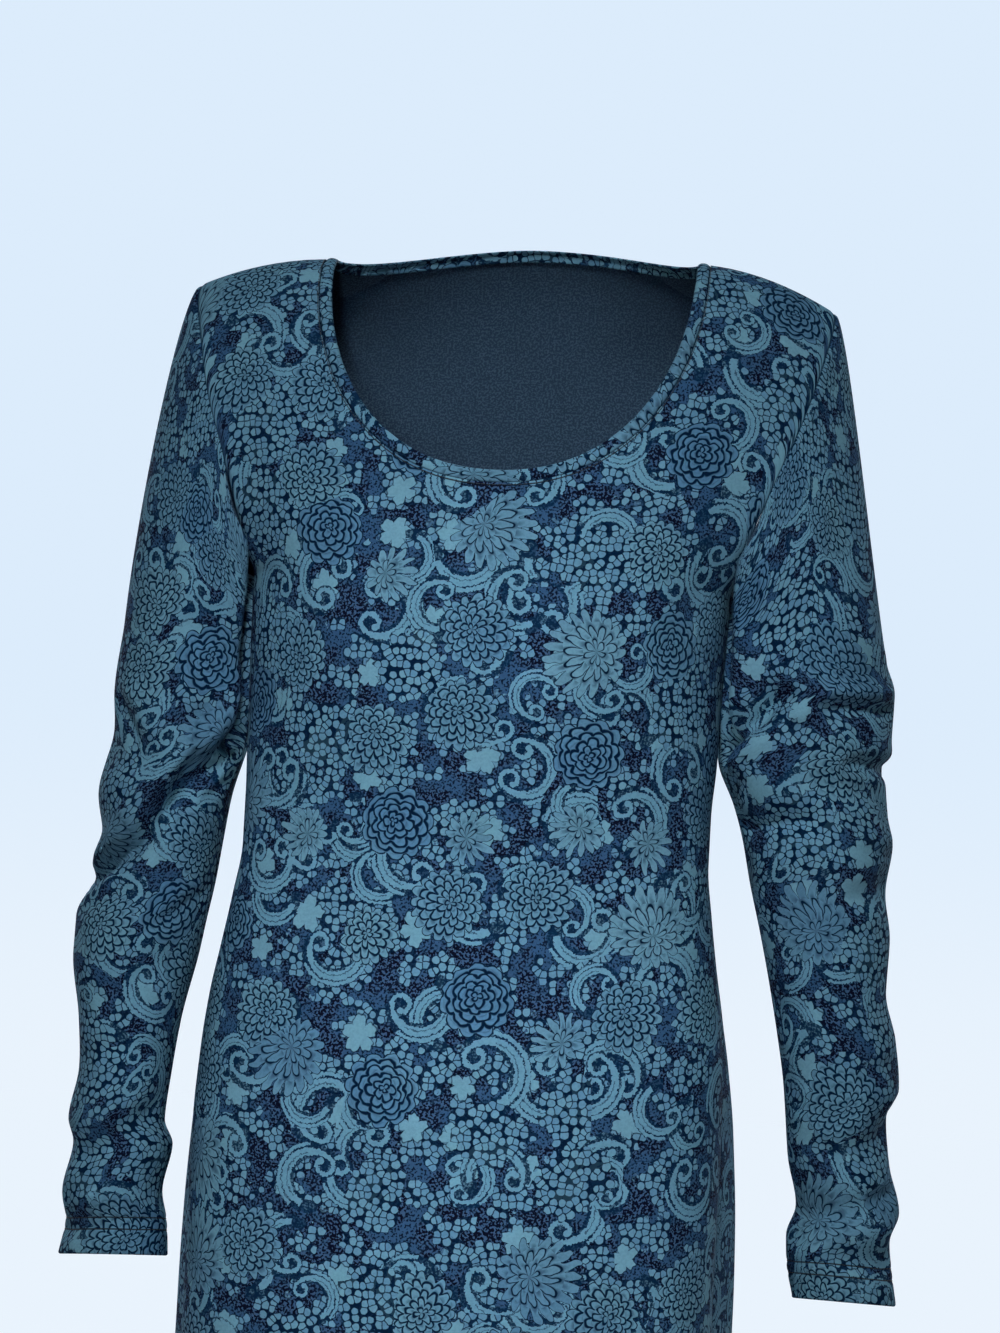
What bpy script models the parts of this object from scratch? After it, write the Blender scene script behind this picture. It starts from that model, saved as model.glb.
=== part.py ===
"""Long-sleeved scoop-neck knit midi dress, hollow, in the pose of a general standing figure.

Front, back, two sleeves and a neckband are separate cloth walls, 0.3 mm apart at the seams.
All sizes are millimetres until they become mesh points. +X is the wearer's left, -Y the front, +Z up.
The origin lies midway between the two high shoulder points, where the wearer's shoulders hold it.
"""

import math

import bpy
import numpy as np

MM = 0.001

# Driving dimensions
DRESS_LENGTH = 1160.0
UNDERARM = -205.0
CUFF = -623.0
SLEEVE_TOP = -240.0
SLEEVE_RADIUS = 38.0
CLOTH = 1.6
BAND_CLOTH = 2.4
BAND_LIFT = 0.6
SEAM_GAP = 0.3
BAND_GAP = 0.6
SLEEVE_GAP = 0.8
CAP_ASIDE = 24.0
SEAM_REACH = 1.2
NORMAL_STEP = 0.4

# Shoulder line and neckline
SHOULDER_HEIGHT = -4.0
NECK_HALF_WIDTH = 111.5
SHOULDER_REACH = 196.0
SHOULDER_DROP = 22.5
NECK_RISE = 50.0
CROWN = 90.0
LEAN = 3.5
LEAN_START = -160.0
NECK_DEPTH = 135.0
NECK_CURVE = 0.91
BACK_NECK_REACH = 66.0
BACK_NECK_CURVE = 1.3
BACK_YOKE_REACH = 85.0
YOKE_HALF_WIDTH = 213.0
BACK_BAND_SHARE = 0.55
BAND_WIDTH = 7.0
ROUNDNESS = 2.35
ARMHOLE_SPREAD = 5.0

# Mesh counts
NECK_COLUMNS = 10
SHOULDER_COLUMNS = 5
YOKE_ROWS = 12
SKIRT_ROWS = 18
SKIRT_ROW_GROWTH = 1.4
SLEEVE_ROWS = 27
CAP_STEPS = (0.0, 0.03, 0.1, 0.2, 0.34, 0.5, 0.66, 0.8, 0.91)


def table(columns, rows):
    """Named columns of a short table, lowest row first, as arrays."""
    return dict(zip(columns.split(), np.array(sorted(rows), float).T))


# Sections of the body, a row for each height. The half width is at the side seam, or at the
# armhole's edge above the underarm, where armhole_gap opens the section.
BODY = table(
    "height centre half_width armhole_gap front back side_flare",
    [
        (-1160, -9, 172, 0, 106, 120, 32),
        (-900, -9, 166, 0, 102, 118, 35),
        (-655, -9, 162, 0, 99, 117, 35),
        (-600, -9, 162, 0, 99, 116, 33),
        (-540, -9, 162, 0, 99, 112, 26),
        (-494, -8.5, 160, 0, 97, 105, 17),
        (-462, -8, 157, 0, 94, 97, 8),
        (-431, -7.5, 152, 0, 90, 90, 2),
        (-400, -7, 147, 0, 88, 84, 0),
        (-369, -6.5, 143, 0, 89, 80, 0),
        (-340, -6.5, 143, 0, 93, 79, 0),
        (-307, -6, 144.5, 0, 99, 81, 0),
        (-260, -6, 145.5, 0, 105, 86, 0),
        (-225, -5.5, 146.5, 0, 105, 90, 0),
        (-205, -5, 147, 0, 103, 92, 0),
        (-190, -4.5, 150, 0.09, 101, 93, 0),
        (-160, -3.5, 158, 0.27, 96, 94, 0),
        (-130, -2, 168, 0.34, 90, 94, 0),
        (-100, -1, 179, 0.33, 83, 92, 0),
        (-60, 0, 190, 0.23, 75, 88, 0),
        (-31, 0, 196, 0.135, 71, 85, 0),
        (60, 0, 196, 0.13, 70, 84, 0),
    ],
)

# Sleeve sections from the underarm to the cuff, on the wearer's right, then on the left.
RIGHT_ARM = table(
    "height outer inner front back",
    [
        (-240, 232, 159, -50, 46),
        (-281, 236, 159, -50, 46),
        (-311, 235, 159, -48, 47),
        (-344, 243, 161, -47, 47),
        (-373, 241, 165, -47, 45),
        (-397, 243, 168, -48, 43),
        (-421, 252, 172, -50, 40),
        (-441, 252, 175, -52, 36),
        (-482, 245, 183, -56, 26),
        (-512, 242, 186, -60, 18),
        (-542, 246, 188, -64, 12),
        (-557, 242, 182, -64, 9),
        (-584, 246, 186, -69, 4),
        (-602, 243, 182, -69, 0),
        (-625, 246, 179, -72, -8),
    ],
)
LEFT_ARM = table(
    "height outer inner front back",
    [
        (-240, 238, 147, -50, 46),
        (-269, 246, 148, -50, 47),
        (-302, 241, 151, -49, 48),
        (-332, 244, 154, -48, 47),
        (-351, 248, 156, -48, 46),
        (-378, 245, 162, -48, 44),
        (-409, 249, 170, -50, 41),
        (-439, 248, 177, -53, 35),
        (-468, 255, 183, -56, 29),
        (-496, 258, 188, -60, 22),
        (-513, 251, 190, -61, 17),
        (-541, 254, 193, -65, 12),
        (-569, 261, 199, -68, 6),
        (-586, 256, 194, -69, 1),
        (-603, 258, 195, -70, -4),
        (-621, 261, 199, -72, -8),
    ],
)

# Sleeve folds. Angles run from 0 at the outer side, 90 at the front, to 180 beside the body.
RIGHT_FOLDS = [
    # height_a, angle_a, height_b, angle_b, width, depth
    (-402, 8, -368, 100, 10, 7.0),
    (-368, 100, -312, 172, 11, 8.0),
    (-318, 12, -326, 95, 11, 3.5),
    (-262, 150, -232, 95, 12, 3.0),
    (-470, 60, -438, 150, 12, 2.5),
    (-572, 40, -530, 165, 9, 4.0),
    (-610, 10, -602, 150, 8, 3.0),
    (-395, 255, -360, 330, 12, 5.0),
    (-545, 240, -560, 330, 10, 3.5),
]
LEFT_FOLDS = [
    # height_a, angle_a, height_b, angle_b, width, depth
    (-284, 2, -276, 88, 10, 4.5),
    (-310, 176, -258, 108, 11, 6.5),
    (-345, 178, -336, 84, 11, 4.0),
    (-370, 10, -388, 80, 10, 3.0),
    (-455, 170, -438, 84, 12, 2.5),
    (-520, 8, -540, 118, 9, 4.5),
    (-578, 174, -560, 20, 9, 5.0),
    (-600, 20, -596, 110, 8, 3.0),
    (-350, 205, -395, 280, 12, 5.0),
    (-540, 230, -560, 320, 10, 3.5),
]
FOLD_LIP_OFFSET = 1.9
FOLD_LIP_WIDTH = 1.25
FOLD_LIP_SHARE = 0.45

# Body folds, in the front or back view.
FRONT_FOLDS = [
    # x_a, height_a, x_b, height_b, width, depth
    (22, -430, 42, -660, 24, 4.0),
    (42, -660, 58, -1160, 30, 8.0),
    (-128, -232, -150, -128, 12, 4.5),
    (122, -236, 150, -128, 12, 4.5),
    (-116, -300, -128, -400, 22, 2.5),
]
BACK_FOLDS = [
    # x_a, height_a, x_b, height_b, width, depth
    (-120, -228, -146, -126, 14, 5.0),
    (116, -228, 146, -126, 14, 5.0),
    (-110, -392, 96, -408, 14, 4.0),
    (-96, -424, 104, -436, 14, 3.0),
    (-34, -700, -40, -1160, 32, 8.0),
]

# Bust shaping
BUST_X = 78.0
BUST_HEIGHT = -252.0
BUST_RADIUS = 60.0
BUST_FULLNESS = 9.0

# Soft flutes of the skirt, growing from the hip to the hem.
FLUTE_START = -600.0
FLUTES = [
    # waves, phase, amplitude at the hem
    (5, 0.6, 6.0),
    (8, 2.1, 4.5),
    (3, 4.0, 4.0),
]

TEAL = (0.085, 0.225, 0.31, 1.0)
CLOTH_ROUGHNESS = 0.85


def read(rows, column, height):
    """A table's column at some heights, on a smooth curve that keeps to its rows."""
    x, y = rows["height"], rows[column]
    slope = np.diff(y) / np.diff(x)
    before, after = slope[:-1], slope[1:]
    same_way = before * after > 0
    tangent = np.zeros_like(y)
    safe = np.where(same_way, before + after, 1.0)
    tangent[1:-1] = np.where(same_way, 2 * before * after / safe, 0.0)
    tangent[0], tangent[-1] = slope[0], slope[-1]
    h = np.clip(np.asarray(height, float), x[0], x[-1])
    k = np.clip(np.searchsorted(x, h) - 1, 0, len(x) - 2)
    span = x[k + 1] - x[k]
    t = (h - x[k]) / span
    return (
        (1 + 2 * t) * (1 - t) ** 2 * y[k]
        + t * (1 - t) ** 2 * span * tangent[k]
        + t**2 * (3 - 2 * t) * y[k + 1]
        + t**2 * (t - 1) * span * tangent[k + 1]
    )


def shoulder_line(x):
    """Height of the shoulder seam at a distance from the centre, and of the neck form inside it."""
    x = np.abs(x)
    outside = np.clip((x - NECK_HALF_WIDTH) / (SHOULDER_REACH - NECK_HALF_WIDTH), 0, None)
    inside = np.clip(1 - (x / NECK_HALF_WIDTH) ** 2, 0, 1)
    return SHOULDER_HEIGHT - SHOULDER_DROP * outside**1.9 + NECK_RISE * inside**1.2


def fold_profile(along, across, width, depth):
    """Depth of a soft trough with a low lip below it, which fades at both ends."""
    fade = np.clip(along * (1 - along) * 8, 0, 1)
    trough = np.exp(-((across / width) ** 2))
    lip = np.exp(-(((across - FOLD_LIP_OFFSET * width) / (FOLD_LIP_WIDTH * width)) ** 2))
    return -depth * fade * (trough - FOLD_LIP_SHARE * lip)


def folds_at(u, v, folds):
    """Height of all folds at surface places u across and v along, in millimetres."""
    total = np.zeros(np.broadcast(u, v).shape)
    for u_a, v_a, u_b, v_b, width, depth in folds:
        length = math.hypot(u_b - u_a, v_b - v_a)
        du, dv = (u_b - u_a) / length, (v_b - v_a) / length
        along = ((u - u_a) * du + (v - v_a) * dv) / length
        across = (u - u_a) * dv - (v - v_a) * du
        total += fold_profile(along, across, width, depth)
    return total


def body_surface(share, height, side):
    """Points of the front (side -1) or back (side +1) at shares of the cloth's half width."""
    centre = read(BODY, "centre", height)
    across = share * read(BODY, "half_width", height)
    turn = np.clip(np.abs(share), 0, 1)
    hollow = 1 - turn**ROUNDNESS + read(BODY, "armhole_gap", height) * turn**ARMHOLE_SPREAD
    depth = np.clip(hollow, 0, 1) ** (1 / ROUNDNESS)
    top = np.clip((shoulder_line(across) - height) / CROWN, 0, 1)
    crown = np.sqrt(1 - (1 - top) ** 2)
    reach = read(BODY, "front" if side < 0 else "back", height)
    y = reach * depth * crown
    x = across
    if side > 0:
        bulge = turn ** (ROUNDNESS / 2) * np.sqrt(1 - turn**ROUNDNESS)
        x = x + np.sign(share) * read(BODY, "side_flare", height) * 2 * bulge
    else:
        for bust in (-BUST_X, BUST_X):
            off = ((x - bust) ** 2 + (height - BUST_HEIGHT) ** 2) / BUST_RADIUS**2
            y = y + BUST_FULLNESS * np.exp(-off) * depth
    y = y + folds_at(x, height, FRONT_FOLDS if side < 0 else BACK_FOLDS) * depth
    around = np.arctan2(side * y / reach, share)
    hang = np.clip((FLUTE_START - height) / (FLUTE_START + DRESS_LENGTH), 0, 1) ** 1.5
    wave = sum(size * np.cos(n * around + phase) for n, phase, size in FLUTES) * hang
    x = x + wave * np.cos(around)
    y = y + side * wave * np.sin(around)
    y = np.maximum(y, SEAM_GAP / 2)
    return np.stack([centre + x, side * y, height + 0 * x], axis=-1)


def body_normals(share, height, side):
    """Outward unit normals of the form, from short steps across and down it."""
    across = share * read(BODY, "half_width", height)
    height = np.minimum(height, shoulder_line(across) - 2 * NORMAL_STEP)
    step = NORMAL_STEP / 200
    aside = body_surface(share + step, height, side) - body_surface(share - step, height, side)
    up = body_surface(share, height + NORMAL_STEP, side) - body_surface(share, height - NORMAL_STEP, side)
    normal = -side * np.cross(aside, up)
    return normal / np.linalg.norm(normal, axis=-1, keepdims=True)


def settle(points):
    """Lets the yoke lean to one side, as the dress sits on its wearer."""
    x, height = points[..., 0], points[..., 2]
    lean = LEAN * np.sin(math.pi * np.clip(x / SHOULDER_REACH, -1, 1))
    fade = np.clip((height - LEAN_START) / -LEAN_START, 0, 1)
    points[..., 2] += lean * fade**2 * (3 - 2 * fade)
    return points


def neck_angles():
    """Angles round the neckline from the centre to the shoulder, closer together at the shoulder."""
    v = np.linspace(0, 1, NECK_COLUMNS + 1)
    return math.pi / 2 * (1 - (1 - v) ** 2)


def neckline(angle, side, inward):
    """Distance from the centre and height of the neckline, moved inward from its finished edge."""
    width = NECK_HALF_WIDTH - inward
    x = width * np.sin(angle) ** NECK_CURVE
    fall = np.clip(np.cos(angle), 0, 1) ** NECK_CURVE
    if side < 0:
        return x, SHOULDER_HEIGHT - (NECK_DEPTH - inward) * fall
    y = (BACK_NECK_REACH - BACK_BAND_SHARE * inward) * fall**BACK_NECK_CURVE
    room = BACK_YOKE_REACH * (1 - (x / YOKE_HALF_WIDTH) ** ROUNDNESS) ** (1 / ROUNDNESS)
    return x, shoulder_line(x) - CROWN * (1 - np.sqrt(1 - (y / room) ** 2))


def panel_columns(side):
    """Shares and top heights of half a panel's columns, from the centre to the side."""
    x, neck_top = neckline(neck_angles(), side, -BAND_WIDTH)
    neck_share = x / read(BODY, "half_width", neck_top)
    first = math.asin(neck_share[-1])
    turn = np.linspace(0, 1, SHOULDER_COLUMNS + 1)[1:]
    turn = turn + 0.5 * turn * (1 - turn)
    share = np.sin(first + (math.pi / 2 - first) * turn)
    top = shoulder_line(share * SHOULDER_REACH)
    neck_top[-1] = shoulder_line(x[-1])
    return np.concatenate([neck_share, share]), np.concatenate([neck_top, top])


def yoke_steps():
    """Shares of the way up from the underarm to the top edge, close together at both ends."""
    v = np.linspace(0, 1, YOKE_ROWS + 1)
    return (1 - np.cos(math.pi * v)) / 2


def tube_normals(points):
    """Outward unit normals of a closed tube of rings."""
    down = np.gradient(points, axis=0)
    around = np.roll(points, -1, axis=1) - np.roll(points, 1, axis=1)
    normal = np.cross(around, down)
    return normal / np.linalg.norm(normal, axis=2, keepdims=True)


def edge_mask(points, closed):
    """Marks the grid's border."""
    mask = np.zeros(points.shape[:2], bool)
    mask[[0, -1]] = True
    if not closed:
        mask[:, [0, -1]] = True
    return mask


def share_seam_normals(pieces):
    """Gives neighbouring edges of different pieces one direction, so that their walls are mitred."""
    points = np.concatenate([p["points"][p["edge"]] for p in pieces])
    normals = np.concatenate([p["normals"][p["edge"]] for p in pieces])
    near = np.linalg.norm(points[:, None] - points[None, :], axis=2) < SEAM_REACH
    mean = near.astype(float) @ normals
    mean /= np.linalg.norm(mean, axis=1, keepdims=True)
    start = 0
    for p in pieces:
        count = int(p["edge"].sum())
        p["normals"][p["edge"]] = mean[start : start + count]
        start += count


def piece(name, points, normals, closed, lift=0.0, thickness=CLOTH):
    """One piece of cloth as a grid with its own thickness."""
    return {
        "name": name,
        "points": settle(points),
        "closed": closed,
        "normals": normals,
        "edge": edge_mask(points, closed),
        "lift": lift,
        "thickness": thickness,
    }


def knit(name):
    """The knit's material for one piece."""
    material = bpy.data.materials.new(name)
    material.use_nodes = True
    shader = material.node_tree.nodes["Principled BSDF"]
    shader.inputs["Base Color"].default_value = TEAL
    shader.inputs["Roughness"].default_value = CLOTH_ROUGHNESS
    shader.inputs["Metallic"].default_value = 0.0
    return material


def make_wall(p):
    """A closed cloth wall between a piece's outer grid and the same grid moved inward."""
    rows, columns = p["points"].shape[:2]
    outer = p["points"] + p["normals"] * p["lift"]
    inner = outer - p["normals"] * p["thickness"]
    count = rows * columns
    last = columns if p["closed"] else columns - 1
    faces = []

    def strip(a, b, c, d):
        """A rim face from two outer places and the inner places behind them."""
        faces.append((a, b, c, d))

    for i in range(rows - 1):
        for j in range(last):
            k = (j + 1) % columns
            a, b = i * columns + j, i * columns + k
            c, d = b + columns, a + columns
            faces.append((a, b, c, d))
            faces.append((count + d, count + c, count + b, count + a))
    for j in range(last):
        k = (j + 1) % columns
        strip(k, j, count + j, count + k)
        foot = (rows - 1) * columns
        strip(foot + j, foot + k, count + foot + k, count + foot + j)
    if not p["closed"]:
        for i in range(rows - 1):
            a, b = i * columns, (i + 1) * columns
            strip(a, b, count + b, count + a)
            a, b = a + columns - 1, b + columns - 1
            strip(b, a, count + a, count + b)
    mesh = bpy.data.meshes.new(p["name"])
    places = np.concatenate([outer.reshape(-1, 3), inner.reshape(-1, 3)]) * MM
    mesh.from_pydata(places.tolist(), [], faces)
    mesh.shade_smooth()
    mesh.materials.append(knit(p["name"] + "_knit"))
    parts.objects.link(bpy.data.objects.new(p["name"], mesh))


def panel(name, side):
    """Front or back of the dress, from the hem to the shoulder seams."""
    share, top = panel_columns(side)
    share = np.concatenate([-share[:0:-1], share])
    top = np.concatenate([top[:0:-1], top])
    fall = np.linspace(1, 0, SKIRT_ROWS + 1) ** SKIRT_ROW_GROWTH
    skirt = UNDERARM - (DRESS_LENGTH + UNDERARM) * fall
    even = np.linspace(-1, 1, len(share)) * math.pi / 2
    even = np.sign(even) * np.abs(np.sin(even)) ** (2 / ROUNDNESS)
    heights = [np.full(len(share), h) for h in skirt]
    shares = [even for h in skirt]
    for step in yoke_steps()[1:]:
        heights.append(UNDERARM + (top - UNDERARM) * step)
        shares.append(even + (share - even) * step)
    place = (-side * np.array(shares), np.array(heights), side)
    return piece(name, body_surface(*place), body_normals(*place), closed=False)


def armhole(side_x):
    """The armhole's loop from the shoulder down the front to the underarm and up the back."""
    tip = shoulder_line(SHOULDER_REACH)
    heights = UNDERARM + (tip - UNDERARM) * yoke_steps()[::-1]
    front = body_surface(np.full(len(heights), float(side_x)), heights, -1)
    back = body_surface(np.full(len(heights), float(side_x)), heights, 1)
    loop = np.concatenate([front[:-1], back[:0:-1]])
    loop[[0, YOKE_ROWS], 1] = 0
    return loop


def arm_section(arm, height, angle, side_x):
    """Points of a sleeve at a height, round its angle."""
    outer, inner = read(arm, "outer", height), read(arm, "inner", height)
    front, back = read(arm, "front", height), read(arm, "back", height)
    x = (outer + inner) / 2 + (outer - inner) / 2 * np.cos(angle)
    y = (front + back) / 2 - (back - front) / 2 * np.sin(angle)
    return np.stack([side_x * x, y, height + 0 * x], axis=-1)


def sleeve_folds(points, angle, folds, side_x):
    """Moves sleeve points in and out by its folds."""
    height = points[..., 2]
    turned = np.degrees(angle) * np.ones(height.shape)
    lift = np.zeros(height.shape)
    for h_a, a_a, h_b, a_b, width, depth in folds:
        ends = [math.radians(a) * SLEEVE_RADIUS for a in (a_a, a_b)]
        for wrap in (0, -360):
            place = np.radians(turned + wrap) * SLEEVE_RADIUS
            lift += folds_at(height, place, [(h_a, ends[0], h_b, ends[1], width, depth)])
    lift = lift * np.clip((height - CUFF) / 12, 0, 1)
    moved = np.stack([side_x * lift * np.cos(angle), -lift * np.sin(angle), 0 * lift], axis=-1)
    return points + moved


def sleeve(name, side_x, arm, folds, cap_pull, cap_slope):
    """A sleeve from the armhole over the cap and down to the cuff."""
    loop = armhole(side_x)
    count = len(loop)
    angle = 2 * math.pi * np.arange(count) / count
    first = arm_section(arm, np.full(count, SLEEVE_TOP), angle, side_x)
    way = first - loop
    reach = np.linalg.norm(way, axis=1, keepdims=True)
    shoulder = np.clip(np.cos(angle), 0, 1)[:, None]
    outward = np.array([side_x * 0.95, 0, -0.3])
    aside = np.array([side_x * CAP_ASIDE, 0, 0])
    leave = (way + aside) / reach * (1 - shoulder) + outward * shoulder
    leave /= np.linalg.norm(leave, axis=1, keepdims=True)
    start = loop + leave * SLEEVE_GAP
    leave = leave * np.minimum(cap_pull, 0.8 * reach)
    arrive = reach * np.stack([side_x * cap_slope * shoulder[:, 0], 0 * angle, -1 + 0 * angle], axis=1)
    rows = []
    for t in CAP_STEPS:
        rows.append(
            (1 + 2 * t) * (1 - t) ** 2 * start
            + t * (1 - t) ** 2 * leave
            + t**2 * (3 - 2 * t) * first
            + t**2 * (t - 1) * arrive
        )
    for height in np.linspace(SLEEVE_TOP, CUFF, SLEEVE_ROWS + 1):
        rows.append(arm_section(arm, np.full(count, height), angle, side_x))
    points = sleeve_folds(np.array(rows), angle, folds, side_x)
    points[0] = start
    if side_x < 0:
        points = points[:, ::-1]
    return piece(name, points, tube_normals(points), closed=True)


def neckband():
    """The folded band round the neckline, whose free edge is the finished neckline."""
    angle = neck_angles()
    rows = []
    normals = []
    for inward in (BAND_GAP - BAND_WIDTH, 0.0):
        halves = []
        for side in (-1, 1):
            x, height = neckline(angle, side, inward)
            height[-1] = shoulder_line(x[-1])
            share = x / read(BODY, "half_width", height)
            share = np.concatenate([-share[::-1], share[1:]])
            height = np.concatenate([height[::-1], height[1:]])
            halves.append((body_surface(share, height, side), body_normals(share, height, side)))
        (front, front_way), (back, back_way) = halves
        front[[0, -1], 1] = 0
        front_way[[0, -1], 1] = 0
        rows.append(np.concatenate([front, back[-2:0:-1]]))
        normals.append(np.concatenate([front_way, back_way[-2:0:-1]]))
    normals = np.array(normals)
    normals /= np.linalg.norm(normals, axis=2, keepdims=True)
    return piece("neckband", np.array(rows), normals, closed=True, lift=BAND_LIFT, thickness=BAND_CLOTH)


for old in list(bpy.data.objects):
    bpy.data.objects.remove(old)
parts = bpy.data.collections.new("midi_dress")
bpy.context.scene.collection.children.link(parts)

pieces = [
    panel("front", -1),
    panel("back", 1),
    neckband(),
]
share_seam_normals(pieces)
pieces += [
    sleeve("right_sleeve", -1, RIGHT_ARM, RIGHT_FOLDS, cap_pull=36.0, cap_slope=0.06),
    sleeve("left_sleeve", 1, LEFT_ARM, LEFT_FOLDS, cap_pull=25.0, cap_slope=0.2),
]
for one in pieces:
    make_wall(one)
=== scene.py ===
"""Long-sleeved scoop-neck midi dress in a teal and navy floral double knit, as it hangs when worn.

The front, back, sleeves and neckband are sheets of cloth cut, curved and turned under at their
free edges. Sizes are millimetres until they become mesh points.
"""

import math

import bpy
import numpy as np
from mathutils import Matrix, Vector


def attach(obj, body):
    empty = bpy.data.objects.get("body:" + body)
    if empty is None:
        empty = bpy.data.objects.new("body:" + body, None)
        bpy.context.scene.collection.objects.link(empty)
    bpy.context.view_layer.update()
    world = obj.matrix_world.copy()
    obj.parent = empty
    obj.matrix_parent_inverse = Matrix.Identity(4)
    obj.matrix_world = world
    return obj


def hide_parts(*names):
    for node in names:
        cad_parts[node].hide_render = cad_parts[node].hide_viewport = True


MM = 0.001

# Cut of the dress
DRESS_LENGTH = 1160.0
UNDERARM = -205.0
CUFF = -623.0
CUFF_TILT = 0.2
CUFF_TILT_START = -470.0
SLEEVE_TOP = -240.0
CLOTH = 1.1
SHOULDER_HEIGHT = -4.0
NECK_HALF_WIDTH = 111.5
SHOULDER_REACH = 196.0
SHOULDER_DROP = 22.5
NECK_RISE = 50.0
CROWN = 90.0
LEAN = 3.5
LEAN_START = -160.0
NECK_DEPTH = 135.0
NECK_CURVE = 0.91
BACK_NECK_REACH = 66.0
BACK_NECK_CURVE = 1.3
BACK_YOKE_REACH = 85.0
YOKE_HALF_WIDTH = 213.0
BACK_BAND_SHARE = 0.55
BAND_WIDTH = 7.0
ROUNDNESS = 2.35
FRONT_ROUNDNESS = 3.0
FRONT_FLATTENS = (-260.0, -380.0)
ARMHOLE_SPREAD = 5.0
SLEEVE_RADIUS = 38.0
CAP_ASIDE = -26.0
CAP_OUTWARD = (0.95, -0.3)
CAP_PULL_LIMIT = 0.8
CAP_ROW_SPREAD = 1.25
CUFF_FADE = 12.0
SHOULDER_NEAR = 0.5

# Grids, columns by rows
HALF_COLUMNS = 54
NECK_COLUMN_SHARE = 0.67
YOKE_ROWS = 60
SKIRT_ROWS = 190
ARMHOLE_STEPS = 50
PLACE_STEPS = 120
CAP_ROWS = 56
SLEEVE_ROWS = 170
BAND_ROWS = 8
BAND_COLUMNS = 61
TURN_STEPS = 7
TURN_ROOM = 4.0
HEM_STEP = 1.25
CUFF_STEP = 1.0

# Turned edges
EDGE_RADIUS = 1.25
HEM_TURN = 26.0
CUFF_TURN = 24.0
BAND_TURN = 8.0
BAND_RADIUS = 1.0
BAND_PUFF = 0.9
SEAM_DIP = 0.9
SEAM_WIDTH = 2.2
SEAM_LAP = 0.3

# Distances kept with the cloth for its material's painted shade along seams and navy lines along
# rows, and the value that means no seam or row nearby
MARKS = ("seam", "first_row", "second_row")
FAR = 50.0

# Stitching: distances of the rows from the edge, and sizes of one stitch
CUFF_ROWS = (14.0, 21.0)
HEM_ROWS = (17.5, 25.0)
NECK_ROW = 1.7
STITCH_LENGTH = 2.7
STITCH_PITCH = 3.1
THREAD = 0.5
THREAD_PROUD = 0.1 * THREAD
ROW_DIP = 0.45
ROW_WIDTH = 1.5


def table(columns, rows):
    """Named columns of a short table, lowest row first, as arrays."""
    return dict(zip(columns.split(), np.array(sorted(rows), float).T))


BODY = table("height centre half_width armhole_gap front back side_flare", [
    (-1160, -9, 172, 0, 106, 120, 32),
    (-900, -9, 166, 0, 102, 118, 35),
    (-655, -9, 162, 0, 99, 117, 35),
    (-600, -9, 162, 0, 99, 116, 33),
    (-540, -9, 162, 0, 99, 112, 26),
    (-494, -8.5, 160, 0, 97, 105, 17),
    (-462, -8, 157, 0, 94, 97, 8),
    (-431, -7.5, 152, 0, 90, 90, 2),
    (-400, -7, 147, 0, 88, 84, 0),
    (-369, -6.5, 143, 0, 89, 80, 0),
    (-340, -6.5, 143, 0, 93, 79, 0),
    (-307, -6, 144.5, 0, 99, 81, 0),
    (-260, -6, 145.5, 0, 105, 86, 0),
    (-225, -5.5, 146.5, 0, 105, 90, 0),
    (-205, -5, 147, 0, 103, 92, 0),
    (-190, -4.5, 150, 0.09, 101, 93, 0),
    (-160, -3.5, 158, 0.27, 96, 94, 0),
    (-130, -2, 168, 0.34, 90, 94, 0),
    (-100, -1, 179, 0.33, 83, 92, 0),
    (-60, 0, 190, 0.23, 75, 88, 0),
    (-31, 0, 196, 0.135, 71, 85, 0),
    (60, 0, 196, 0.13, 70, 84, 0),
])
ARM_COLUMNS = "height outer inner front back"
RIGHT_ARM = table(ARM_COLUMNS, [
    (-240, 232, 148.5, -50, 46),
    (-281, 236, 148.3, -50, 46),
    (-303, 235, 150.5, -48, 47),
    (-344, 243, 161, -47, 47),
    (-373, 238.5, 165, -47, 45),
    (-397, 243, 168, -48, 43),
    (-421, 252, 172, -50, 40),
    (-441, 252, 175, -52, 36),
    (-482, 245, 183, -56, 26),
    (-512, 242, 186, -60, 18),
    (-542, 246, 188, -64, 12),
    (-557, 242, 182, -64, 9),
    (-584, 246, 186, -69, 4),
    (-602, 243, 182, -69, 0),
    (-625, 246, 179, -72, -8),
])
LEFT_ARM = table(ARM_COLUMNS, [
    (-240, 238.5, 136.5, -50, 46),
    (-259, 244.5, 136, -50, 47),
    (-284, 244, 136.5, -50, 48),
    (-304, 241.5, 138.5, -49, 48),
    (-332, 244, 150, -48, 47),
    (-351, 248, 156, -48, 46),
    (-378, 245, 162, -48, 44),
    (-409, 249, 170, -50, 41),
    (-439, 248, 177, -53, 35),
    (-468, 255, 183, -56, 29),
    (-496, 258, 188, -60, 22),
    (-513, 251, 190, -61, 17),
    (-541, 254, 193, -65, 12),
    (-569, 261, 199, -68, 6),
    (-586, 256, 194, -69, 1),
    (-603, 258, 195, -70, -4),
    (-621, 261, 199, -72, -8),
])

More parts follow.
